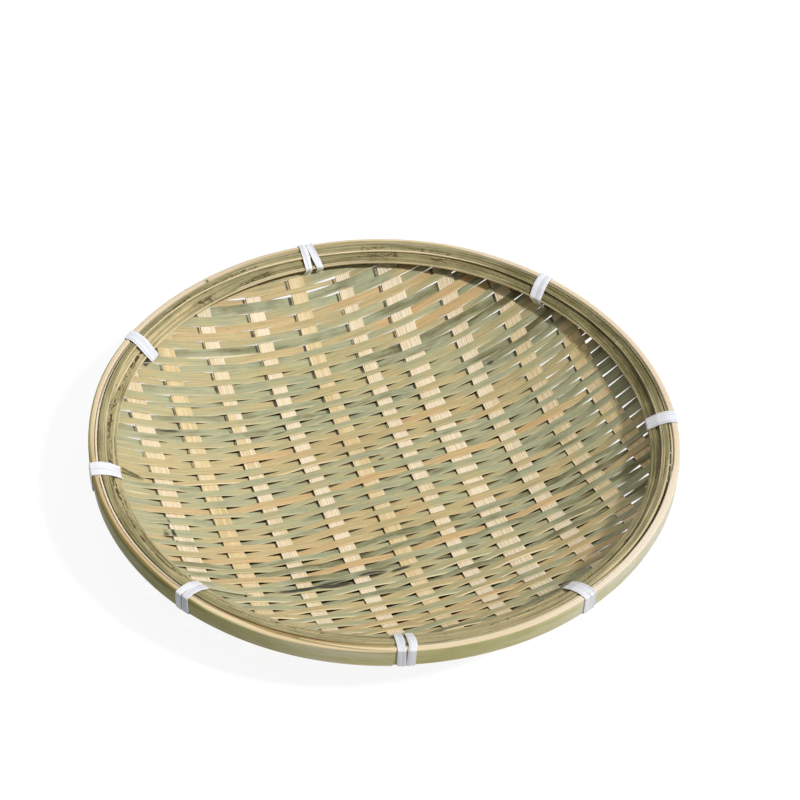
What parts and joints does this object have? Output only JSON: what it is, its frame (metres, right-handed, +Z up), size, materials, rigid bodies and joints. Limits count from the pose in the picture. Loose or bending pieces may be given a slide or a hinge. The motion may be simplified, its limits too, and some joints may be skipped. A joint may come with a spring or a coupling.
{
  "type": "zaru bamboo basket",
  "caption": "Round shallow zaru basket: a plain-woven bamboo mat dished into a bowl, held in a bamboo hoop rim by white ribbon bindings.",
  "frame": {"origin": "middle of the basket at the level that it rests on", "axes": "+Z up out of the bowl's mouth; the picture looks along +Y with +X to its right; the weft strips run 20.5 degrees anticlockwise from +X"},
  "size_m": [0.2307, 0.2306, 0.0358],
  "materials": {
    "green_bamboo_skin": "smooth green-grey bamboo skin with a pale cut top edge, satin",
    "olive_bamboo_band": "olive-brown split bamboo with fine lengthwise lines and dark flecks, satin",
    "pale_bamboo_warp": "pale cream split bamboo with fine lengthwise grooves, matt",
    "grey_green_weft": "thin grey-green bamboo strips, satin to matt",
    "tan_weft": "thin tan bamboo strips, satin to matt",
    "white_ribbon": "white flat plastic ribbon with fine lengthwise lines, glossy"
  },
  "bodies": {
    "root": {"outer_hoop": "green_bamboo_skin", "upper_rim_band": "olive_bamboo_band", "lower_rim_band": "olive_bamboo_band", "rim_splint": "olive_bamboo_band", "warp_01": "pale_bamboo_warp", "warp_02": "pale_bamboo_warp", "warp_03": "pale_bamboo_warp", "warp_04": "pale_bamboo_warp", "warp_05": "pale_bamboo_warp", "warp_06": "pale_bamboo_warp", "warp_07": "pale_bamboo_warp", "warp_08": "pale_bamboo_warp", "warp_09": "pale_bamboo_warp", "warp_10": "pale_bamboo_warp", "weft_pair_01": "grey_green_weft", "weft_pair_02": "tan_weft", "weft_pair_03": "grey_green_weft", "weft_pair_04": "grey_green_weft", "weft_pair_05": "grey_green_weft", "weft_pair_06": "tan_weft", "weft_pair_07": "grey_green_weft", "weft_pair_08": "grey_green_weft", "weft_pair_09": "grey_green_weft", "weft_pair_10": "tan_weft", "weft_pair_11": "grey_green_weft", "weft_pair_12": "grey_green_weft", "weft_pair_13": "grey_green_weft", "weft_pair_14": "tan_weft", "weft_pair_15": "grey_green_weft", "weft_pair_16": "grey_green_weft", "weft_pair_17": "grey_green_weft", "weft_pair_18": "tan_weft", "weft_pair_19": "grey_green_weft", "weft_pair_20": "grey_green_weft", "weft_pair_21": "grey_green_weft", "weft_pair_22": "tan_weft", "weft_pair_23": "grey_green_weft", "weft_pair_24": "grey_green_weft", "weft_pair_25": "grey_green_weft", "weft_pair_26": "tan_weft", "weft_pair_27": "grey_green_weft", "weft_pair_28": "grey_green_weft", "weft_pair_29": "grey_green_weft", "weft_pair_30": "tan_weft", "weft_pair_31": "grey_green_weft", "weft_pair_32": "grey_green_weft", "weft_pair_33": "grey_green_weft", "weft_pair_34": "tan_weft", "binding_1": "white_ribbon", "binding_2": "white_ribbon", "binding_3": "white_ribbon", "binding_4": "white_ribbon", "binding_5": "white_ribbon", "binding_6": "white_ribbon", "binding_7": "white_ribbon", "binding_8": "white_ribbon"}
  },
  "joints": []
}
